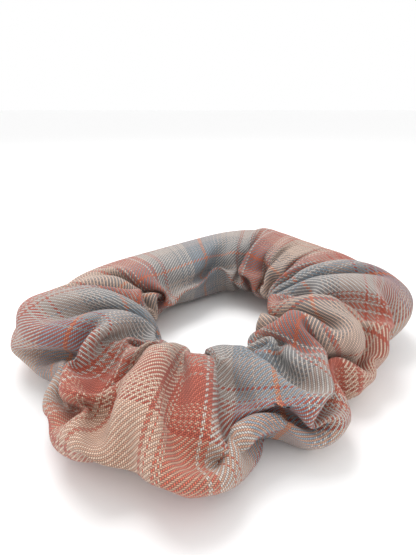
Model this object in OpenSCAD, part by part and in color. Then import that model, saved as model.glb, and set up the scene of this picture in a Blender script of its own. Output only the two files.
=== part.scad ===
// Scrunchie: a gathered cloth tube round a flat braided elastic loop.
// Millimetres. Origin: centre of the ring, on the surface it lies on. +Z is the ring's axis.
// The ring is cut in two halves at X = 0, which slide apart along X as it is stretched.

/* [Cover] */
// Thickness of the cover's wall: one layer of twill
cloth_t = 0.8; // [0.4:0.1:1.2]
// How far the outer edge is drawn in at a gather, between two lobes
gather_outer = 3; // [0:0.5:5]
// How far the hole's edge is drawn out at a gather
gather_inner = 3; // [0:0.5:5]
// How much lower the cover is at a gather than at its lobes
gather_top = 2.5; // [0:0.5:4]
// Half the width of the slit between the two halves of the ring
half_gap = 0.2; // [0.1:0.05:0.5]

/* [Elastic] */
// Radius of the relaxed loop at the elastic's inner face
elastic_r = 30.6; // [30.4:0.1:32]
// Width of the flat elastic
elastic_w = 5; // [3:0.5:6]
// Thickness of the flat elastic
elastic_t = 1.2; // [0.8:0.1:1.6]
// Length of the lap where the elastic's two ends are sewn together
elastic_lap = 10; // [6:1:14]

/* [Seams] */
// Thickness of the sewing thread
thread_d = 0.4; // [0.2:0.1:0.6]
// Length of one stitch that shows
stitch_l = 1.8; // [1:0.2:2.4]
// Distance from one stitch to the next
stitch_pitch = 3; // [2.4:0.2:5]
// Direction of the cover's closing seam, counter-clockwise from +X
closing_seam_at = 68; // [60:1:80]

/* [Hidden] */

// The lobes of the gathered cover, counter-clockwise from +X:
// direction in degrees, outer radius, hole radius, height
LOBES = [
    [2, 56, 20, 20], [26, 55, 25, 23], [66, 55, 27, 23], [108, 50, 21, 21],
    [150, 42, 17, 18], [188, 51, 19, 19], [232, 50, 22, 18], [252, 54, 27, 20],
    [272, 57, 28, 21], [298, 48, 25, 20], [326, 46, 18, 19]
];
lobe_count = len(LOBES);

// The hole's edge is never further out than this, so that the elastic stays inside the cover
hole_r_max = elastic_r - 2.6;
// Rings of points along each half, and points round each ring
rings = 32;
sides = 20;
// Height of the tube's widest level, as a part of its height: the rest is flat on the table
waist = 0.46;
// Height of the elastic's and the long seam's middle
mid_z = 9.5;
// Angle that the elastic's lap covers
lap_angle = elastic_lap / (elastic_r + elastic_t) * 180 / PI;
// Directions of the two halves
LEFT = [90, 270];
RIGHT = [-90, 90];

function turned(a) = a < LOBES[0][0] ? a + 360 : a;
function lobe_az(k) = LOBES[k % lobe_count][0] + (k >= lobe_count ? 360 : 0);
function lobe_before(a, k = 0) = lobe_az(k + 1) > a ? k : lobe_before(a, k + 1);
function smooth(u) = u * u * (3 - 2 * u);

// Share of the way from the lobe before direction a to the next one
function share(a, k) = (a - lobe_az(k)) / (lobe_az(k + 1) - lobe_az(k));

// Column c of the lobe table at direction a, less or plus the gather's depth between lobes
function blended(a, k, c, depth) =
    let (u = share(a, k))
    let (from = LOBES[k % lobe_count][c])
    let (to = LOBES[(k + 1) % lobe_count][c])
    from + (to - from) * smooth(u) + depth * (1 - cos(360 * u)) / 2;

function column(a, c, depth) = blended(turned(a), lobe_before(turned(a)), c, depth);
function outer_r(a) = column(a, 1, -gather_outer);
function hole_r(a) = min(hole_r_max, column(a, 2, gather_inner));
function height(a) = column(a, 3, -gather_top);

// A point of the tube's skin in direction a, at angle p round its section, inset by t
function skin(a, p, t) =
    let (mid = (outer_r(a) + hole_r(a)) / 2)
    let (half_w = (outer_r(a) - hole_r(a)) / 2 - t)
    let (half_h = height(a) * (1 - waist) - t)
    let (r = mid + half_w * cos(p))
    let (z = max(t, height(a) * waist + half_h * sin(p)))
    [r * cos(a), r * sin(a), z];

function ring(a, t) = [for (j = [0 : sides - 1]) skin(a, 360 * j / sides, t)];
function quad_split(a, b, c, d) = [[a, b, c], [a, c, d]];

// One half of the cover: outer skin, inner skin, and the two open ends' rims
module half_cover(span) {
    az = [for (i = [0 : rings]) span[0] + (span[1] - span[0]) * i / rings];
    outside = [for (a = az) each ring(a, 0)];
    inside = [for (a = az) each ring(a, cloth_t)];
    first_inside = len(outside);
    around = [for (j = [0 : sides - 1]) [j, (j + 1) % sides]];
    outer_faces = [
        for (i = [0 : rings - 1], s = around)
            each quad_split(i * sides + s[0], i * sides + s[1],
                (i + 1) * sides + s[1], (i + 1) * sides + s[0])
    ];
    inner_faces = [for (f = outer_faces) [f[2], f[1], f[0]] + first_inside * [1, 1, 1]];
    last = rings * sides;
    rims = [
        for (s = around)
            each concat(
                quad_split(s[1], s[0], first_inside + s[0], first_inside + s[1]),
                quad_split(last + s[0], last + s[1],
                    first_inside + last + s[1], first_inside + last + s[0]))
    ];
    polyhedron(points = concat(outside, inside), faces = concat(outer_faces, inner_faces, rims));
}

// A flat band of elastic from direction a to direction b, from radius r out by t, w wide
module band(a, b, r, t, w) {
    rotate([0, 0, a])
        rotate_extrude(angle = b - a, $fn = 96)
            translate([r, mid_z - w / 2])
                square([t, w]);
}

// One stitch lying along X at the origin
module stitch(length) {
    rotate([0, 90, 0])
        cylinder(h = length, d = thread_d, center = true, $fn = 6);
}

// A stitch of the long seam in direction a, sunk half its thickness into the cover's inner skin
module long_seam_stitch(a) {
    rotate([0, 0, a])
        translate([hole_r(a) + cloth_t, 0, mid_z])
            rotate([0, 0, 90])
                stitch(stitch_l);
}

module long_seam(span) {
    steps = floor((span[1] - span[0]) * PI / 180 * hole_r_max / stitch_pitch);
    for (i = [1 : steps - 1])
        long_seam_stitch(span[0] + (span[1] - span[0]) * i / steps);
}

module cover_left() {
    color("rosybrown")
        translate([-half_gap, 0, 0])
            half_cover(LEFT);
}

module cover_right() {
    color("tan")
        translate([half_gap, 0, 0])
            half_cover(RIGHT);
}

module elastic_left() {
    color("white")
        translate([-half_gap, 0, 0])
            band(LEFT[0], LEFT[1], elastic_r, elastic_t, elastic_w);
}

// The right half carries the lap: one end of the loop pressed down on the outside of the other
module elastic_right() {
    pressed = elastic_t / 2;
    color("whitesmoke")
        translate([half_gap, 0, 0]) {
            band(RIGHT[0], RIGHT[1], elastic_r, elastic_t, elastic_w);
            band(closing_seam_at - lap_angle, closing_seam_at,
                elastic_r + pressed, 2 * elastic_t - pressed, elastic_w - 0.2);
        }
}

// Zigzag bar tack through both layers of the lap
module elastic_join_stitches() {
    tack_count = 9;
    tack_h = elastic_w - 1;
    color("dimgray")
        translate([half_gap, 0, 0])
            for (i = [1 : tack_count])
                rotate([0, 0, closing_seam_at - lap_angle * i / (tack_count + 1)])
                    translate([elastic_r + 2 * elastic_t, 0, mid_z])
                        rotate([i % 2 == 0 ? 12 : -12, 0, 0])
                            cylinder(h = tack_h, d = thread_d, center = true, $fn = 6);
}

module long_seam_stitches_left() {
    color("darkgray")
        translate([-half_gap, 0, 0])
            long_seam(LEFT);
}

module long_seam_stitches_right() {
    color("gray")
        translate([half_gap, 0, 0])
            long_seam(RIGHT);
}

// The short seam that joins the tube's two ends, on the inside of the upper and outer skin
module closing_seam_stitches() {
    stitches = 16;
    low = -30;
    high = 150;
    ahead = 4;
    color("silver")
        translate([half_gap, 0, 0])
            for (i = [0 : stitches - 1]) {
                p = low + (high - low) * i / (stitches - 1);
                here = skin(closing_seam_at, p, cloth_t);
                next = skin(closing_seam_at, p + ahead, cloth_t);
                outward = norm([next[0], next[1]]) - norm([here[0], here[1]]);
                translate(here)
                    rotate([0, -atan2(next[2] - here[2], outward), closing_seam_at])
                        stitch(stitch_l);
            }
}

cover_left();
cover_right();
elastic_left();
elastic_right();
elastic_join_stitches();
long_seam_stitches_left();
long_seam_stitches_right();
closing_seam_stitches();
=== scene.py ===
"""Scrunchie: a gathered plaid twill tube round a flat braided elastic loop.

The cover is one strip of cloth, simulated as a closed tube that the elastic has gathered into a ring.
Lengths in the cloth sections are millimetres; they become metres when a mesh is made.
"""
import math
import bpy
import numpy as np
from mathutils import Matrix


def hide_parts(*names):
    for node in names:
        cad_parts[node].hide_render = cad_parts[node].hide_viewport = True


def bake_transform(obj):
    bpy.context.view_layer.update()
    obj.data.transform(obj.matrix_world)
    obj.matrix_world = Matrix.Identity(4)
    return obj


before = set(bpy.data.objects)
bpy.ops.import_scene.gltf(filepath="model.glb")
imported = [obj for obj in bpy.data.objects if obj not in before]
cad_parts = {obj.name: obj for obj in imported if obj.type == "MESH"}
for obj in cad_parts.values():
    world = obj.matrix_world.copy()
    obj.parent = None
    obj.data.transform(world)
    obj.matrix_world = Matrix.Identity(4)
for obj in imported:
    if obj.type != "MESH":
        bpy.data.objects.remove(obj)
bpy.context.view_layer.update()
MM = 0.001
TINY = 1e-9

# The strip of cloth, without its seam allowances, and its thickness
CLOTH_LENGTH = 285.0
CLOTH_ROUND = 80.0
CLOTH_THICKNESS = 0.5
# Direction of the closing seam. All directions are degrees counter-clockwise from +X
CLOSING_SEAM_AT = 68.0

# The elastic loop: radius and height of the band's middle, and the band's own size
ELASTIC_RADIUS = 31.2
ELASTIC_Z = 9.5
ELASTIC_WIDTH = 5.0
ELASTIC_THICKNESS = 1.2
ELASTIC_LAP = 10.0

# Sewing thread: its thickness, the distance from one stitch to the next, and the short steps in that
# distance, of which the last one is the gap
THREAD_THICKNESS = 0.4
STITCH_PITCH = 3.0
STEPS_PER_STITCH = 6

# Lobes of the gathered ring: direction, outer radius, hole radius, height, cloth held in the lobe,
# and how far the tube is twisted there, in turns towards the outside
LOBES = [
    (2, 54, 21, 24, 1.2, -0.02), (34, 52, 26, 22, 1.0, -0.04), (66, 54, 27, 24, 0.9, -0.02),
    (84, 49, 25, 22, 0.6, 0.00), (108, 43, 18, 20, 0.45, 0.00), (130, 40, 16, 19, 0.5, 0.00),
    (150, 42, 17, 18, 0.9, 0.02), (174, 41, 18, 19, 1.0, 0.05), (190, 48, 19, 23, 0.9, 0.06),
    (204, 47, 20, 22, 0.9, 0.04), (219, 42, 20, 18, 1.3, -0.03), (240, 52, 26, 18, 1.2, -0.10),
    (256, 52, 27, 18, 1.1, -0.13), (268, 56, 27, 17, 1.1, -0.10), (276, 55, 27, 17, 1.1, -0.05),
    (284, 43, 27, 16, 1.0, 0.00), (294, 52, 26, 18, 1.2, 0.05), (308, 45, 23, 19, 1.2, 0.11),
    (326, 44, 20, 20, 1.2, 0.12), (342, 44, 20, 22, 1.3, 0.06),
]
# The radius by which cloth is shared out between the lobes, as parts of their outer and hole radius
OUTER_SHARE = 0.6
HOLE_SHARE = 0.4
# Height of the tube's widest level, as a part of its height
WAIST = 0.48
# How much closer together the cloth's points lie at the hole side and the outside than on top
CROWDING = 0.05
# The tube's core lies no further from the outside than this part of its height
CORE_FROM_OUTSIDE = 0.4
# Lowest level of the shape that the cloth is drawn to, and of the settled cloth
GOAL_LOWEST = 0.4
CLOTH_LOWEST = 0.3

# Folds that the cloth falls into: the direction and the place round the tube of each point along it,
# its depth, and half its width at its start and end. A depth below zero is a ridge that stands proud.
# Round the tube, 0 is the hole side, 0.25 the top and 0.5 the outside.
FOLDS = [
    ([(221, 0.46), (228, 0.34), (235, 0.26), (240, 0.14)], 10, 4, 3),
    ([(240, 0.16), (248, 0.27), (245, 0.37), (232, 0.47)], 9, 3, 3),
    ([(256, 0.22), (251, 0.28), (250, 0.34), (243, 0.50)], -3, 2.5, 2.5),
    ([(254, 0.33), (262, 0.31), (270, 0.33), (273, 0.42)], 4, 3, 3),
    ([(279, 0.22), (276, 0.33), (273, 0.45)], 10, 2.5, 2.5),
    ([(286, 0.30), (284, 0.40), (284, 0.56)], 16, 3, 5),
    ([(288, 0.29), (281, 0.36), (277, 0.46)], -4, 2.5, 2.5),
    ([(288, 0.29), (292, 0.37), (294, 0.44)], -4, 2.5, 2.5),
    ([(293, 0.46), (301, 0.45), (317, 0.52)], 5, 3, 3),
    ([(290, 0.22), (298, 0.31), (320, 0.44)], 9, 3, 3),
    ([(290, 0.02), (296, 0.20), (308, 0.27), (326, 0.38)], 9, 3, 3.5),
    ([(312, 0.14), (326, 0.21), (344, 0.20), (342, 0.30)], 9, 3, 3),
    ([(346, -0.04), (353, 0.12), (4, 0.20), (20, 0.24)], 9, 3.5, 3),
    ([(91, 0.24), (112, 0.12), (118, 0.00)], 2, 3, 3),
    ([(166, 0.22), (160, 0.06), (152, -0.10)], 7, 3, 3),
    ([(184, 0.36), (188, 0.18), (176, 0.04)], 10, 3, 4),
    ([(260, 0.47), (258, 0.64)], 3, 2.5, 2.5),
    ([(30, 0.45), (36, 0.60)], 5, 3, 3),
    ([(52, 0.50), (50, 0.70)], 4, 3, 3),
    ([(92, 0.45), (96, 0.65)], 5, 3, 3),
    ([(128, 0.42), (122, 0.62)], 4, 3, 3),
    ([(160, 0.45), (166, 0.62)], 5, 3, 3),
]
# Points along each leg of a fold. Its depth follows half a sine wave along it, with this part of the
# wave left out at each end
POINTS_PER_LEG = 12
FOLD_END = 0.12
# How soon a fold reaches its depth away from the hole side, where the seam holds the cloth flat
FOLD_ONSET = 1.5
# The most of the way to the tube's core that a fold goes
FOLD_REACH = 0.75

# Sharp creases in the settled cloth, the closing seam's first: the places along each, in millimetres
# along the strip from that seam and round the tube from the long seam, its depth and half its width.
# They are drawn through points this far apart, and then eased for this many steps of the solver.
CREASES = [
    ([(0, 0), (0, 80)], 1.6, 1.2),
    ([(145, 25), (144, 34), (142, 43)], 4.0, 2.0),
    ([(155, 24), (151, 40), (150, 50)], 2.5, 3.0),
    ([(112, 26), (107, 30), (108, 40)], 1.5, 3.0),
    ([(84, 38), (98, 30), (103, 26)], 3.0, 2.5),
    ([(193, 14), (196, 20), (205, 26)], 3.0, 2.0),
]
CREASE_SPACING = 1.0
CREASE_EASING_STEPS = 24


# ---------------------------------------------------------------- small helpers

def length_of(vectors):
    """Length of each vector along the last axis."""
    return np.sqrt((vectors * vectors).sum(-1))


def wrapped(distance, period):
    """The shorter way between two places on a closed line."""
    distance = np.abs(distance) % period
    return np.minimum(distance, period - distance)


def smooth(u):
    """A soft start and end for a value that goes from 0 to 1."""
    return u * u * (3 - 2 * u)


# ---------------------------------------------------------------- the shape that the cloth settles near

def lobe_values(azimuth):
    """The lobe table's columns after the direction, blended smoothly, in each direction."""
    rows = np.array(LOBES + [(LOBES[0][0] + 360,) + LOBES[0][1:]], float)
    a = (azimuth - rows[0, 0]) % 360 + rows[0, 0]
    k = np.clip(np.searchsorted(rows[:, 0], a, side="right") - 1, 0, len(LOBES) - 1)
    ease = smooth((a - rows[k, 0]) / (rows[k + 1, 0] - rows[k, 0]))[..., None]
    return np.moveaxis(rows[k, 1:] * (1 - ease) + rows[k + 1, 1:] * ease, -1, 0)


def azimuth_of_cloth(count):
    """Directions at which evenly spaced lines across the strip lie round the ring."""
    tenths = np.linspace(0, 360, 3601)
    outer, hole, _, full, _ = lobe_values(tenths)
    held = np.cumsum((OUTER_SHARE * outer + HOLE_SHARE * hole) * full)
    held = (held - held[0]) / (held[-1] - held[0])
    return np.interp(np.arange(count) / count, held, tenths)


def places_on_ring(along, around):
    """Direction and place round the tube of each point of the cloth's grid."""
    azimuth, v = np.meshgrid(azimuth_of_cloth(along), np.arange(around) / around, indexing="ij")
    twist = lobe_values(azimuth)[-1]
    return azimuth, v + twist


def section_angle(v):
    """Angle in the tube's section of each place round it, from the outside and up."""
    return np.pi - 2 * np.pi * (v - CROWDING * np.sin(4 * np.pi * v))


def ring_points(azimuth, v):
    """Points of the broad ring, and the core of the tube beside each."""
    outer, hole, height, _, _ = lobe_values(azimuth)
    p = section_angle(v)
    middle = (outer + hole) / 2
    r = middle + (outer - hole) / 2 * np.cos(p)
    z = np.maximum(height * (WAIST + (1 - WAIST) * np.sin(p)), GOAL_LOWEST)
    t = np.radians(azimuth)
    core_r = np.minimum(middle, outer - CORE_FROM_OUTSIDE * height)
    core = np.stack([core_r * np.cos(t), core_r * np.sin(t), height * WAIST], -1)
    return np.stack([r * np.cos(t), r * np.sin(t), z], -1), core


def fold_line(corners):
    """Points closely spaced along a fold, and how far along it each one is; the direction may pass 360."""
    azimuth, v = np.array(corners, float).T
    azimuth = np.degrees(np.unwrap(np.radians(azimuth)))
    v = np.unwrap(v, period=1)
    legs = len(corners) - 1
    steps = np.linspace(0, legs, POINTS_PER_LEG * legs + 1)
    whole = np.arange(legs + 1)
    points, _ = ring_points(np.interp(steps, whole, azimuth), np.interp(steps, whole, v))
    return points, steps / steps[-1]


def creased_ring(along, around):
    """The broad ring with its folds pressed in towards the core of the tube."""
    azimuth, v = places_on_ring(along, around)
    points, core = ring_points(azimuth, v)
    inward = core - points
    room = length_of(inward)
    press = np.zeros(room.shape)
    for corners, depth, first_half_width, last_half_width in FOLDS:
        line, place = fold_line(corners)
        near = length_of(points[:, :, None] - line)
        place = place[near.argmin(-1)]
        half_width = first_half_width + (last_half_width - first_half_width) * place
        taper = np.sin(np.pi * (FOLD_END + (1 - 2 * FOLD_END) * place))
        press += depth * taper * np.exp(-(near.min(-1) / half_width) ** 2)
    press *= np.minimum(FOLD_ONSET * (1 - np.cos(2 * np.pi * v)), 1)
    return points + inward * (np.minimum(press, room * FOLD_REACH) / room)[..., None]


# ---------------------------------------------------------------- cloth solver on a closed grid

# What the solver's threads measure unloaded, all along the strip and all round it. They are pressed
# shorter as the cloth gathers, so that it ends near its true size
SOLVER_LENGTH = 325.0
SOLVER_ROUND = 84.0
# Passes over the threads in one step, and how much of its error a thread mends in one pass, where it is
# too long and where it is too short
LENGTH_PASSES = 2
THREAD_PULL = 0.8
THREAD_PUSH = 0.5
# The same for the grid's diagonals, which give more easily
DIAGONAL_PULL = 0.35
DIAGONAL_PUSH = 0.15
# How much of two layers' overlap is mended in one step
LAYER_PUSH = 0.4
# Layers are looked for each few steps, this much further apart than they may come
STEPS_PER_SEARCH = 6
SEARCH_MARGIN = 0.7
# Points no more than this many grid steps apart are neighbours in one layer
NEIGHBOUR_STEPS = 2
# The part of its speed that the cloth keeps from one step to the next
KEPT_SPEED = 0.9
# How near the cloth may come to the elastic's middle, and how many times as far above and below it
ELASTIC_ROOM = 2.0
ELASTIC_TALLNESS = 1.8


def shifted(grid, steps, axis):
    """Each point's neighbour, steps further along the axis."""
    return np.roll(grid, -steps, axis)


def drawn_to_length(grid, du, dv, rest, pull, push):
    """Move the two ends of each thread between grid points towards its rest length."""
    other = grid
    if du:
        other = shifted(other, du, 0)
    if dv:
        other = shifted(other, dv, 1)
    gap = other - grid
    length = length_of(gap) + TINY
    share = np.where(length > rest, pull, push) * 0.5 * (length - rest) / length
    move = gap * share[..., None]
    back = move
    if du:
        back = shifted(back, -du, 0)
    if dv:
        back = shifted(back, -dv, 1)
    return grid + move - back


def curvature(grid, step, axis):
    """How far each point lies from its two neighbours' middle, twice over."""
    return shifted(grid, step, axis) + shifted(grid, -step, axis) - 2 * grid


def normals(grid):
    """The cloth's outward direction at each point."""
    along = shifted(grid, 1, 0) - shifted(grid, -1, 0)
    across = shifted(grid, 1, 1) - shifted(grid, -1, 1)
    n = np.cross(across, along)
    return n / (length_of(n) + TINY)[..., None]


def blurred(grid, passes, steps=1):
    """The grid with each point drawn towards its neighbours' middle, both ways."""
    for _ in range(passes):
        for axis in (0, 1):
            grid = (shifted(grid, steps, axis) + shifted(grid, -steps, axis) + 2 * grid) / 4
    return grid


def broad_part(grid, block):
    """The part of a field that is broader than a block of grid points."""
    along, around, _ = grid.shape
    means = grid.reshape(along // block, block, around // block, block, 3).mean((1, 3))
    field = np.repeat(np.repeat(means, block, 0), block, 1)
    return blurred(blurred(field, 1, block // 2), 1, max(1, block // 4))


# A cell and one of each two opposite cells round it, so that each pair of cells is looked at once
HALF_NEIGHBOURS = [
    (0, 0, 0), (1, 0, 0), (0, 1, 0), (0, 0, 1), (1, 1, 0), (1, -1, 0), (1, 0, 1),
    (1, 0, -1), (0, 1, 1), (0, 1, -1), (1, 1, 1), (1, 1, -1), (1, -1, 1), (1, -1, -1),
]


def close_pairs(grid, radius):
    """Points nearer than radius that aren't neighbours on the cloth, found through a grid of cells."""
    along, around, _ = grid.shape
    points = grid.reshape(-1, 3)
    cell = np.floor((points - points.min(0)) / radius).astype(np.int64) + 1
    size = cell.max(0) + 2
    key = (cell[:, 0] * size[1] + cell[:, 1]) * size[2] + cell[:, 2]
    order = np.argsort(key, kind="stable")
    sorted_key = key[order]
    filled, start, count = np.unique(sorted_key, return_index=True, return_counts=True)
    firsts, seconds = [], []
    for step in HALF_NEIGHBOURS:
        wanted = sorted_key + (step[0] * size[1] + step[1]) * size[2] + step[2]
        found = np.minimum(np.searchsorted(filled, wanted), len(filled) - 1)
        source = np.nonzero(filled[found] == wanted)[0]
        many = count[found[source]]
        i = np.repeat(source, many)
        j = np.arange(len(i)) - np.repeat(np.cumsum(many) - many, many)
        j = j + np.repeat(start[found[source]], many)
        if step == (0, 0, 0):
            i, j = i[j > i], j[j > i]
        a, b = order[i], order[j]
        near = ((points[a] - points[b]) ** 2).sum(1) < radius * radius
        a, b = a[near], b[near]
        du = wrapped(a // around - b // around, along)
        dv = wrapped(a % around - b % around, around)
        apart = (du > NEIGHBOUR_STEPS) | (dv > NEIGHBOUR_STEPS)
        firsts.append(a[apart])
        seconds.append(b[apart])
    return np.concatenate(firsts), np.concatenate(seconds)


def pushed_apart(grid, pairs, gap):
    """Keep two layers of cloth a gap apart."""
    points = grid.reshape(-1, 3)
    i, j = pairs
    between = points[i] - points[j]
    length = length_of(between) + TINY
    touching = length < gap
    i, j, between, length = i[touching], j[touching], between[touching], length[touching]
    move = between * (LAYER_PUSH * (gap - length) / length)[:, None]
    total = np.stack([
        np.bincount(i, move[:, c], len(points)) - np.bincount(j, move[:, c], len(points))
        for c in range(3)], -1)
    hits = np.bincount(i, minlength=len(points)) + np.bincount(j, minlength=len(points))
    return grid + (total / np.sqrt(np.maximum(hits, 1))[:, None]).reshape(grid.shape)


def round_elastic(grid, share=0.5):
    """Keep the tube round the elastic loop: each part of it stays on its own side of the band."""
    angle = section_angle(places_on_ring(*grid.shape[:2])[1])
    r = np.hypot(grid[..., 0], grid[..., 1])
    off_r = r - ELASTIC_RADIUS
    off_z = (grid[..., 2] - ELASTIC_Z) / ELASTIC_TALLNESS
    outward = off_r * np.cos(angle) + off_z * np.sin(angle)
    sideways = off_z * np.cos(angle) - off_r * np.sin(angle)
    short = np.where(np.abs(sideways) < ELASTIC_ROOM, np.maximum(ELASTIC_ROOM - outward, 0), 0) * share
    grid[..., :2] *= (1 + short * np.cos(angle) / r)[..., None]
    grid[..., 2] += short * np.sin(angle) * ELASTIC_TALLNESS
    return grid


def settled(grid, goal, steps, bend, attract, block, swell, weight, gap, most):
    """Let the cloth settle: it keeps its cut size, folds where it has to, and rests on the table.

    bend: stiffness over 1, 2 and 4 grid steps. attract: pull towards the goal shape at the start and
    the end, felt over blocks of grid points. swell and weight: how far it moves outwards and down in
    each step. gap: least distance of two layers. most: longest move in a step.
    """
    step_u = SOLVER_LENGTH / grid.shape[0]
    step_v = SOLVER_ROUND / grid.shape[1]
    diagonal = math.hypot(step_u, step_v)
    speed = np.zeros_like(grid)
    pairs = None
    for turn in range(steps):
        before = grid
        grid = grid + speed * KEPT_SPEED + normals(grid) * swell
        grid[..., 2] -= weight
        pull_in = attract[0] + (attract[1] - attract[0]) * turn / steps
        grid = grid + broad_part(goal - grid, block) * pull_in
        for _ in range(LENGTH_PASSES):
            grid = drawn_to_length(grid, 1, 0, step_u, THREAD_PULL, THREAD_PUSH)
            grid = drawn_to_length(grid, 0, 1, step_v, THREAD_PULL, THREAD_PUSH)
            grid = drawn_to_length(grid, 1, 1, diagonal, DIAGONAL_PULL, DIAGONAL_PUSH)
            grid = drawn_to_length(grid, 1, -1, diagonal, DIAGONAL_PULL, DIAGONAL_PUSH)
        for reach, stiffness in zip((1, 2, 4), bend):
            for axis in (0, 1):
                grid = grid - stiffness * curvature(curvature(grid, reach, axis), reach, axis)
        grid = round_elastic(grid)
        if turn % STEPS_PER_SEARCH == 0:
            pairs = close_pairs(grid, gap + SEARCH_MARGIN)
        grid = pushed_apart(grid, pairs, gap)
        grid[..., 2] = np.maximum(grid[..., 2], CLOTH_LOWEST)
        move = grid - before
        size = length_of(move)[..., None]
        speed = move * np.minimum(1, most / (size + TINY))
        grid = before + speed
    return grid


def refined(grid):
    """Twice the points each way, on a cubic through the old ones."""
    for axis in (0, 1):
        near = grid + shifted(grid, 1, axis)
        far = shifted(grid, -1, axis) + shifted(grid, 2, axis)
        middle = (9 * near - far) / 16
        shape = list(grid.shape)
        shape[axis] *= 2
        grid = np.stack([grid, middle], axis + 1).reshape(shape)
    return grid


# The first grid's points along the strip and round it, and how far they are shaken before they settle
COARSE_POINTS = (128, 32)
SHAKE = 0.6
# Swelling, weight, least gap of two layers and longest move, on each grid and while creases are eased
COARSE = {"swell": 0.02, "weight": 0.01, "gap": 2.2, "most": 0.4}
MEDIUM = {"swell": 0.01, "weight": 0.005, "gap": 1.4, "most": 0.3}
FINE = {"swell": 0.003, "weight": 0.002, "gap": 0.8, "most": 0.15}
STILL = {"swell": 0, "weight": 0, "gap": 0.8, "most": 0.1}


def gathered_cloth():
    """Settle the cover on three grids, each twice as fine as the one before."""
    goal = creased_ring(*COARSE_POINTS)
    draws = np.random.RandomState(33)
    cloth = goal + blurred(draws.standard_normal(goal.shape), passes=2) * SHAKE
    bend = (0.01, 0.004, 0)
    cloth = settled(cloth, goal, 120, bend, attract=(0.15, 0.10), block=2, **COARSE)
    cloth = settled(cloth, goal, 100, bend, attract=(0.06, 0.04), block=4, **COARSE)
    cloth = refined(cloth)
    goal = creased_ring(*cloth.shape[:2])
    cloth = settled(cloth, goal, 60, (0.02, 0.01, 0.003), attract=(0.08, 0.05), block=2, **MEDIUM)
    bend = (0.03, 0.02, 0.006)
    cloth = settled(cloth, goal, 200, bend, attract=(0.02, 0.01), block=4, **MEDIUM)
    cloth = refined(cloth)
    goal = creased_ring(*cloth.shape[:2])
    cloth = settled(cloth, goal, 60, bend, attract=(0.02, 0.02), block=16, **FINE)
    return round_elastic(cloth, 1.0)


def resampled(line, spacing):
    """Points evenly spaced along a line."""
    steps = length_of(np.diff(line, axis=0))
    length = np.concatenate([[0], np.cumsum(steps)])
    places = np.linspace(0, length[-1], int(length[-1] / spacing) + 1)
    return np.stack([np.interp(places, length, column) for column in line.T], 1)


def crease_depth(u, v):
    """How far the creases draw the cloth in, at each place along the strip and round the tube."""
    depths = np.zeros(np.broadcast(u, v).shape)
    for path, depth, half_width in CREASES:
        apart = np.full(depths.shape, np.inf)
        for place_u, place_v in resampled(np.array(path, float), CREASE_SPACING):
            off_u = wrapped(u - place_u, CLOTH_LENGTH)
            off_v = wrapped(v - place_v, CLOTH_ROUND)
            apart = np.minimum(apart, np.hypot(off_u, off_v))
        depths += depth * np.exp(-(apart / half_width) ** 2)
    return depths


def with_creases(cloth):
    """The cloth with its creases drawn in and eased. Its first line is now the closing seam."""
    along, around, _ = cloth.shape
    seam = int(np.searchsorted(azimuth_of_cloth(along), CLOSING_SEAM_AT))
    u = ((np.arange(along) - seam) * CLOTH_LENGTH / along)[:, None]
    v = (np.arange(around) * CLOTH_ROUND / around)[None]
    cloth = cloth - normals(blurred(cloth, passes=6)) * crease_depth(u, v)[..., None]
    bend = (0.03, 0.02, 0)
    cloth = settled(cloth, cloth, CREASE_EASING_STEPS, bend, attract=(0, 0), block=16, **STILL)
    return np.roll(round_elastic(cloth, 1.0), -seam, 0)


# ---------------------------------------------------------------- node helpers

def new_material(name):
    """A material, its node tree and its shader."""
    material = bpy.data.materials.new(name)
    material.use_nodes = True
    tree = material.node_tree
    return material, tree, tree.nodes["Principled BSDF"]


def put(tree, socket, value):
    """Link another node's socket to this one, or set a plain value on it."""
    if isinstance(value, bpy.types.NodeSocket):
        tree.links.new(value, socket)
    else:
        socket.default_value = value


def math_node(tree, operation, *values):
    """A Math node on sockets or plain numbers."""
    node = tree.nodes.new("ShaderNodeMath")
    node.operation = operation
    for socket, value in zip(node.inputs, values):
        put(tree, socket, value)
    return node.outputs[0]


def fraction_of(tree, value, period):
    """How far a value is through its period, 0 to 1."""
    return math_node(tree, "FRACT", math_node(tree, "DIVIDE", value, period))


def wave(tree, value, cycles):
    """A sine of the value, with this many cycles from 0 to 1."""
    return math_node(tree, "SINE", math_node(tree, "MULTIPLY", value, 2 * math.pi * cycles))


def ramp(tree, factor, stops, interpolation="LINEAR"):
    """Colours at places from 0 to 1."""
    node = tree.nodes.new("ShaderNodeValToRGB")
    node.color_ramp.interpolation = interpolation
    elements = node.color_ramp.elements
    while len(elements) < len(stops):
        elements.new(0.5)
    for element, (place, colour) in zip(elements, stops):
        element.position = place
        element.color = colour
    put(tree, node.inputs[0], factor)
    return node.outputs[0]


def mixed(tree, factor, a, b, blend="MIX"):
    """Two colours mixed. The Mix node's inputs 6 and 7 and output 2 are its colours."""
    node = tree.nodes.new("ShaderNodeMix")
    node.data_type = "RGBA"
    node.blend_type = blend
    put(tree, node.inputs["Factor"], factor)
    put(tree, node.inputs[6], a)
    put(tree, node.inputs[7], b)
    return node.outputs[2]


def uv_axes(tree, layer):
    """The two coordinates of a UV layer."""
    uv = tree.nodes.new("ShaderNodeUVMap")
    uv.uv_map = layer
    split = tree.nodes.new("ShaderNodeSeparateXYZ")
    tree.links.new(uv.outputs[0], split.inputs[0])
    return split.outputs[0], split.outputs[1]


def add_bump(tree, shader, height, strength, distance):
    """Let the shader's normal follow a height; the distance is in metres."""
    bump = tree.nodes.new("ShaderNodeBump")
    bump.inputs["Strength"].default_value = strength
    bump.inputs["Distance"].default_value = distance
    tree.links.new(height, bump.inputs["Height"])
    tree.links.new(bump.outputs[0], shader.inputs["Normal"])


def srgb(r, g, b):
    """A colour given as the eye sees it, 0 to 255."""
    return tuple(((c / 255 + 0.055) / 1.055) ** 2.4 if c > 10 else c / 3295 for c in (r, g, b))


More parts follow.
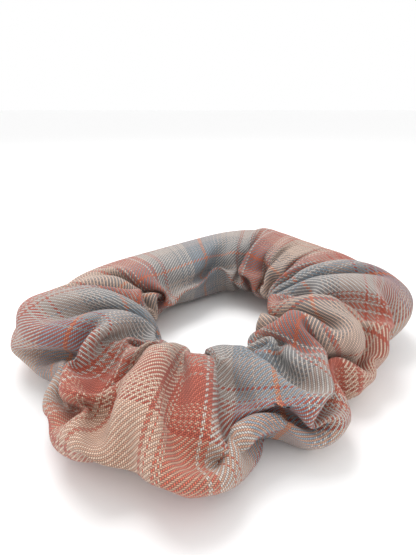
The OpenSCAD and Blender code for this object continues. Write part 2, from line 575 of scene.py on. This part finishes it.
# ---------------------------------------------------------------- plaid twill

RED = srgb(190, 98, 76)
CREAM = srgb(214, 188, 168)
WHITE = srgb(204, 194, 186)
PALE_GREY = srgb(190, 189, 185)
BLUE_GREY = srgb(138, 156, 168)
ORANGE = srgb(206, 130, 94)

# Half of the plaid's repeat, from the middle of the blue stripe to the middle of the cream one:
# each stripe's width in millimetres and its colour
HALF_SETT = [(6.0, BLUE_GREY), (9.0, PALE_GREY), (10.0, RED), (10.0, CREAM)]
# The single lines laid over it: the middle of each, its width and its colour
LINES = [(0.0, 0.8, ORANGE), (16.2, 0.6, WHITE), (17.2, 0.9, RED), (18.2, 0.6, WHITE), (28.5, 0.9, RED)]
SETT_REPEAT = 2 * sum(width for width, _ in HALF_SETT)
# Where the first blue stripe's middle lies, and how far the yarns of two neighbouring stripes mix,
# for the stripes across the tube, counted from the closing seam, and those along it, from the long seam
STRIPES_ACROSS_TUBE = (14.0, 6.0)
STRIPES_ALONG_TUBE = (9.0, 7.0)
# The yarns along the tube are darker and redder than those across it, so the ribs stand out
WARP_TINT = (0.80, 0.62, 0.56, 1)
# Distance from one yarn to the next
YARN = 0.27
# Brightness of the darkest yarn, and how much brighter the brightest one is
DARKEST_YARN = 0.88
YARN_SPREAD = 0.24
# Painted shade in the gaps between the yarns and painted highlight on their crowns
PAINTED_GAP_SHADE = (0.34, 0.28, 0.26, 1)
PAINTED_CROWN_HIGHLIGHT = (1.40, 1.40, 1.39, 1)


def sett_stops():
    """The stripes of one repeat, as places from 0 to 1 and colours."""
    stops, at = [], 0.0
    for width, colour in HALF_SETT + HALF_SETT[::-1]:
        stops.append((at / SETT_REPEAT, (*colour, 1)))
        at += width
    return stops


def line_stops():
    """The single lines of one repeat, opaque on a clear ground."""
    edges = []
    for middle, width, colour in LINES:
        for place in sorted({middle, (SETT_REPEAT - middle) % SETT_REPEAT}):
            edges.append((place - width / 2, place + width / 2, colour))
    # The first line's middle is where the repeat starts, so half of it closes the repeat
    _, width, colour = LINES[0]
    edges.append((SETT_REPEAT - width / 2, SETT_REPEAT, colour))
    stops = []
    for start, end, colour in sorted(edges):
        stops.append((max(start, 0) / SETT_REPEAT, (*colour, 1)))
        stops.append((end / SETT_REPEAT, (*colour, 0)))
    return stops


def sett_colour(tree, position, random, mix):
    """Colour of the yarn at a distance across the plaid; random mixes the stripes' edges."""
    jitter = math_node(tree, "MULTIPLY", math_node(tree, "SUBTRACT", random, 0.5), mix)
    jittered = fraction_of(tree, math_node(tree, "ADD", position, jitter), SETT_REPEAT)
    broad = ramp(tree, jittered, sett_stops(), "CONSTANT")
    lines = ramp(tree, fraction_of(tree, position, SETT_REPEAT), line_stops(), "CONSTANT")
    return mixed(tree, lines.node.outputs["Alpha"], broad, lines)


def arch(tree, fraction):
    """Height of a round yarn at a fraction of the way over it."""
    return math_node(tree, "SINE", math_node(tree, "MULTIPLY", fraction, math.pi))


def yarn_set(tree, position, crossing, first_stripe, mix):
    """One set of yarns: its colour, and its height where it floats over two crossing yarns."""
    number = math_node(tree, "DIVIDE", position, YARN)
    whole = math_node(tree, "FLOOR", number)
    noise = tree.nodes.new("ShaderNodeTexWhiteNoise")
    noise.noise_dimensions = "1D"
    tree.links.new(math_node(tree, "ADD", whole, first_stripe), noise.inputs["W"])
    random = noise.outputs["Value"]
    middle = math_node(tree, "SUBTRACT", math_node(tree, "MULTIPLY", whole, YARN), first_stripe)
    colour = sett_colour(tree, middle, random, mix)
    brightness = math_node(tree, "MULTIPLY_ADD", random, YARN_SPREAD, DARKEST_YARN)
    colour = mixed(tree, 1.0, colour, brightness, "MULTIPLY")
    along_float = fraction_of(tree, math_node(tree, "ADD", whole, crossing), 2.0)
    across_yarn = arch(tree, math_node(tree, "FRACT", number))
    return colour, math_node(tree, "MULTIPLY", across_yarn, arch(tree, along_float))


def plaid_twill():
    """Two-over-two twill: each crossing shows the yarn on top, in its stripe's colour, with painted shade
    between the yarns and a painted highlight on their crowns.
    """
    material, tree, shader = new_material("plaid_twill")
    u, v = uv_axes(tree, "cloth")
    along = math_node(tree, "MULTIPLY", u, CLOTH_LENGTH)
    across = math_node(tree, "MULTIPLY", v, CLOTH_ROUND)
    warp_number = math_node(tree, "DIVIDE", across, YARN)
    weft_number = math_node(tree, "DIVIDE", along, YARN)
    warp, warp_height = yarn_set(tree, across, weft_number, *STRIPES_ALONG_TUBE)
    weft, weft_height = yarn_set(tree, along, warp_number, *STRIPES_ACROSS_TUBE)
    # The twill repeats each four crossings on the diagonal, and the warp is on top at the first two
    warp_row = math_node(tree, "FLOOR", warp_number)
    weft_row = math_node(tree, "FLOOR", weft_number)
    crossing = fraction_of(tree, math_node(tree, "ADD", warp_row, weft_row), 4.0)
    warp_on_top = math_node(tree, "LESS_THAN", crossing, 0.4)
    warp = mixed(tree, 1.0, warp, WARP_TINT, "MULTIPLY")
    colour = mixed(tree, warp_on_top, weft, warp)
    height = mixed(tree, warp_on_top, weft_height, warp_height)
    # Painted shade between the yarns and painted highlight on their crowns, following each yarn's height
    shade = mixed(tree, height, PAINTED_GAP_SHADE, PAINTED_CROWN_HIGHLIGHT)
    colour = mixed(tree, 1.0, colour, shade, "MULTIPLY")
    tree.links.new(colour, shader.inputs["Base Color"])
    add_bump(tree, shader, height, strength=0.8, distance=0.00015)
    shader.inputs["Roughness"].default_value = 0.62
    shader.inputs["Sheen Weight"].default_value = 0.15
    shader.inputs["Sheen Roughness"].default_value = 0.5
    return material


# ---------------------------------------------------------------- thread and elastic

THREAD_DARK = srgb(176, 166, 156)
THREAD_PALE = srgb(226, 220, 210)
# The braid's colour in its grooves, a painted shade, and on its crowns, a painted highlight
BRAID_GROOVE_SHADE = srgb(196, 192, 184)
BRAID_CROWN_HIGHLIGHT = srgb(240, 238, 232)
# Ribs round the band, and plaits along the loop
BRAID_RIBS = 9
BRAID_PLAITS = 160


def thread_material():
    """Spun thread: a fine mottle of two tones."""
    material, tree, shader = new_material("thread")
    noise = tree.nodes.new("ShaderNodeTexNoise")
    noise.inputs["Scale"].default_value = 4000
    coords = tree.nodes.new("ShaderNodeTexCoord")
    tree.links.new(coords.outputs["Object"], noise.inputs["Vector"])
    colour = ramp(tree, noise.outputs[0], [(0.3, (*THREAD_DARK, 1)), (0.7, (*THREAD_PALE, 1))])
    tree.links.new(colour, shader.inputs["Base Color"])
    shader.inputs["Roughness"].default_value = 0.7
    return material


def braid_material():
    """Flat braid: fine ribs along the loop, crossed by plaits, darker in their grooves and paler on their
    crowns as painted shade and highlight.
    """
    material, tree, shader = new_material("elastic_braid")
    u, v = uv_axes(tree, "braid")
    ribs = wave(tree, v, BRAID_RIBS)
    plaits = wave(tree, u, BRAID_PLAITS)
    relief = math_node(tree, "ADD", ribs, math_node(tree, "MULTIPLY", plaits, 0.5))
    add_bump(tree, shader, relief, strength=1.0, distance=0.0001)
    # Painted shade in the grooves and painted highlight on the crowns, following the relief
    painted_relief_shading = math_node(tree, "MULTIPLY_ADD", relief, 0.3, 0.5)
    colour = ramp(tree, painted_relief_shading, [(0.0, (*BRAID_GROOVE_SHADE, 1)), (1.0, (*BRAID_CROWN_HIGHLIGHT, 1))])
    tree.links.new(colour, shader.inputs["Base Color"])
    shader.inputs["Roughness"].default_value = 0.8
    return material


# ---------------------------------------------------------------- meshes

def mesh_object(name, points, faces, material, uvs=None, uv_name="cloth"):
    """A smooth-shaded object with points in millimetres and UVs for each corner of each face."""
    mesh = bpy.data.meshes.new(name)
    mesh.from_pydata((points * MM).tolist(), [], [tuple(face) for face in faces])
    if uvs is not None:
        layer = mesh.uv_layers.new(name=uv_name)
        layer.data.foreach_set("uv", uvs.astype(np.float32).ravel())
    mesh.polygons.foreach_set("use_smooth", np.ones(len(faces), bool))
    mesh.materials.append(material)
    mesh.update()
    piece = bpy.data.objects.new(name, mesh)
    bpy.context.scene.collection.objects.link(piece)
    return piece


def closed_grid(along, around, first=0, inward=False):
    """Faces and face-corner UVs of a grid that closes both ways."""
    i, j = np.meshgrid(np.arange(along), np.arange(around), indexing="ij")
    i, j = i.ravel(), j.ravel()
    corners = [(0, 0), (0, 1), (1, 1), (1, 0)]
    if inward:
        corners.reverse()
    faces = np.stack([first + (i + a) % along * around + (j + b) % around for a, b in corners], 1)
    uvs = np.stack([np.stack([(i + a) / along, (j + b) / around], 1) for a, b in corners], 1)
    return faces, uvs.reshape(-1, 2)


def tube_ends(along, around, first=0):
    """The faces that close the two ends of a tube of rings of points."""
    last = first + along * around - 1
    return [tuple(range(first, first + around)), tuple(range(last, last - around, -1))]


def spans_both_halves(piece):
    """Bake the piece's placement into its mesh."""
    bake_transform(piece)


def make_cover(cloth, material):
    """The cloth's outer face at full detail and its inner face at half, one shell of real thickness."""
    along, around, _ = cloth.shape
    inner = (cloth - normals(cloth) * CLOTH_THICKNESS)[::2, ::2]
    outer_faces, outer_uvs = closed_grid(along, around)
    inner_faces, inner_uvs = closed_grid(along // 2, around // 2, along * around, inward=True)
    points = np.concatenate([cloth.reshape(-1, 3), inner.reshape(-1, 3)])
    faces = np.concatenate([outer_faces, inner_faces])
    uvs = np.concatenate([outer_uvs, inner_uvs])
    cover = mesh_object("fabric_cover", points, faces, material, uvs)
    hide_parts("cover_left", "cover_right")
    spans_both_halves(cover)


# Points along the elastic's band and round it, the powers that make its section squarer than an ellipse,
# through its thickness and over its width, and the degrees over which its end steps out onto its start
BAND_POINTS = (250, 16)
THICKNESS_POWER = 0.4
WIDTH_POWER = 0.6
STEP_OUT = 10


def squarer(value, power):
    """A sine or cosine made squarer: the lower the power, the squarer."""
    return np.sign(value) * np.abs(value) ** power


def make_elastic(material):
    """One flat band with rounded edges; its end lies on the outside of its start for the lap."""
    along, around = BAND_POINTS
    lap = math.degrees(ELASTIC_LAP / ELASTIC_RADIUS)
    turn = np.linspace(0, 360 + lap, along)
    side = np.arange(around) / around * 2 * np.pi
    across = squarer(np.cos(side), THICKNESS_POWER) * (ELASTIC_THICKNESS / 2)
    up = squarer(np.sin(side), WIDTH_POWER) * (ELASTIC_WIDTH / 2)
    stepped = np.clip((turn - (360 - STEP_OUT)) / STEP_OUT, 0, 1)
    middle = ELASTIC_RADIUS + ELASTIC_THICKNESS * smooth(stepped)
    azimuth = np.radians(CLOSING_SEAM_AT - lap + turn)
    r = middle[:, None] - across
    height = np.broadcast_to(ELASTIC_Z + up, r.shape)
    points = np.stack([r * np.cos(azimuth)[:, None], r * np.sin(azimuth)[:, None], height], -1)
    faces, uvs = closed_grid(along, around)
    strip = (along - 1) * around
    faces = faces[:strip].tolist() + tube_ends(along, around)
    uvs = np.concatenate([uvs[:4 * strip], np.zeros((2 * around, 2))])
    elastic = mesh_object("elastic_loop", points.reshape(-1, 3), faces, material, uvs, "braid")
    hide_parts("elastic_left", "elastic_right")
    spans_both_halves(elastic)


# ---------------------------------------------------------------- sewing thread

THREAD_SIDES = 6
# A direction that no thread runs along, from which each thread's own two crosswise ones are found
CROSSWISE_HINT = (0.36, -0.48, 0.8)


def running_stitches(line):
    """The stitches that show along a closed seam, each with a gap of one short step after it."""
    fine = resampled(np.concatenate([line, line[:1]]), STITCH_PITCH / STEPS_PER_STITCH)
    starts = range(0, len(fine) - STEPS_PER_STITCH, STEPS_PER_STITCH)
    return [fine[start:start + STEPS_PER_STITCH] for start in starts]


def make_thread(name, node_names, paths, material):
    """Lengths of thread along the paths, one mesh."""
    turn = np.arange(THREAD_SIDES) / THREAD_SIDES * 2 * np.pi
    points, faces, first = [], [], 0
    for path in paths:
        ahead = np.gradient(path, axis=0)
        ahead /= np.linalg.norm(ahead, axis=1, keepdims=True)
        across = np.cross(ahead, CROSSWISE_HINT)
        across /= np.linalg.norm(across, axis=1, keepdims=True)
        up = np.cross(across, ahead)
        ring = np.cos(turn)[:, None] * across[:, None] + np.sin(turn)[:, None] * up[:, None]
        points.append((path[:, None] + ring * THREAD_THICKNESS / 2).reshape(-1, 3))
        tube, _ = closed_grid(len(path), THREAD_SIDES, first)
        faces += tube[:(len(path) - 1) * THREAD_SIDES].tolist()
        faces += tube_ends(len(path), THREAD_SIDES, first)
        first += len(path) * THREAD_SIDES
    thread = mesh_object(name, np.concatenate(points), faces, material)
    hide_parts(*node_names)
    spans_both_halves(thread)


def make_seams(cloth, material):
    """The long seam on the hole side and the closing seam round the tube, inside the cloth."""
    inside = cloth - normals(blurred(cloth, passes=2)) * (CLOTH_THICKNESS + THREAD_THICKNESS / 2)
    halves = ("long_seam_stitches_left", "long_seam_stitches_right")
    make_thread("long_seam_stitches", halves, running_stitches(inside[:, 0]), material)
    closing = ("closing_seam_stitches",)
    make_thread("closing_seam_stitches", closing, running_stitches(inside[0]), material)


# The tack's corners, how far it stays inside the band's edges, and where along the lap it starts and ends
TACK_CORNERS = 19
TACK_MARGIN = 0.6
TACK_SPAN = (0.1, 0.9)


def make_elastic_join(material):
    """A zigzag bar tack across the elastic's lap."""
    lap = math.degrees(ELASTIC_LAP / ELASTIC_RADIUS)
    azimuth = np.radians(CLOSING_SEAM_AT - lap * np.linspace(*TACK_SPAN, TACK_CORNERS))
    zigzag = (-1) ** np.arange(TACK_CORNERS)
    height = ELASTIC_Z + (ELASTIC_WIDTH / 2 - TACK_MARGIN) * zigzag
    r = ELASTIC_RADIUS + 1.5 * ELASTIC_THICKNESS + THREAD_THICKNESS / 2
    path = np.stack([r * np.cos(azimuth), r * np.sin(azimuth), height], 1)
    make_thread("elastic_join_stitches", ("elastic_join_stitches",), [path], material)


# ---------------------------------------------------------------- camera, light and floor

# The camera's place in metres, and how many degrees it looks down
CAMERA_AT = (0.0005, -0.1029, 0.0608)
LOOKS_DOWN = 22
# Half the floor's width, in millimetres, far enough that its edge never shows
FLOOR_REACH = 20000.0


def make_camera():
    """A phone held about 12 cm from the ring."""
    data = bpy.data.cameras.new("camera")
    data.lens = 27.05
    data.sensor_width = 36
    data.clip_start = 0.005
    camera = bpy.data.objects.new("camera", data)
    camera.location = CAMERA_AT
    camera.rotation_euler = (math.radians(90 - LOOKS_DOWN), 0, 0)
    bpy.context.scene.collection.objects.link(camera)
    bpy.context.scene.camera = camera


def area_light(name, place, size, power):
    """A round soft light that shines towards the origin."""
    data = bpy.data.lights.new(name, "AREA")
    data.shape = "DISK"
    data.size = size
    data.energy = power
    light = bpy.data.objects.new(name, data)
    light.location = place
    toward = -np.array(place)
    tilt = math.atan2(math.hypot(toward[0], toward[1]), -toward[2])
    heading = math.atan2(toward[1], toward[0]) - math.pi / 2
    light.rotation_euler = (tilt, 0, heading)
    bpy.context.scene.collection.objects.link(light)


def make_light():
    """A soft key from behind, a weak fill from the front, and an even white surround."""
    area_light("key", place=(-0.12, 0.18, 0.45), size=0.35, power=1.5)
    area_light("fill", place=(0.25, -0.35, 0.35), size=0.5, power=0.3)
    world = bpy.data.worlds.new("studio")
    world.use_nodes = True
    background = world.node_tree.nodes["Background"]
    background.inputs["Color"].default_value = (1, 1, 1, 1)
    background.inputs["Strength"].default_value = 1.0
    bpy.context.scene.world = world
    bpy.context.scene.view_settings.view_transform = "Standard"


def make_floor():
    """A plain pale floor at the level that the ring lies on."""
    material, _, shader = new_material("pale_floor")
    shader.inputs["Base Color"].default_value = (0.96, 0.96, 0.96, 1)
    shader.inputs["Roughness"].default_value = 0.9
    corners = np.array([(-1, -1, 0), (1, -1, 0), (1, 1, 0), (-1, 1, 0)]) * FLOOR_REACH
    floor = mesh_object("floor", corners, np.array([(0, 1, 2, 3)]), material)


make_camera()
make_light()
make_floor()

cloth = with_creases(gathered_cloth())
thread = thread_material()
make_seams(cloth, thread)
make_elastic_join(thread)
make_cover(cloth, plaid_twill())
make_elastic(braid_material())
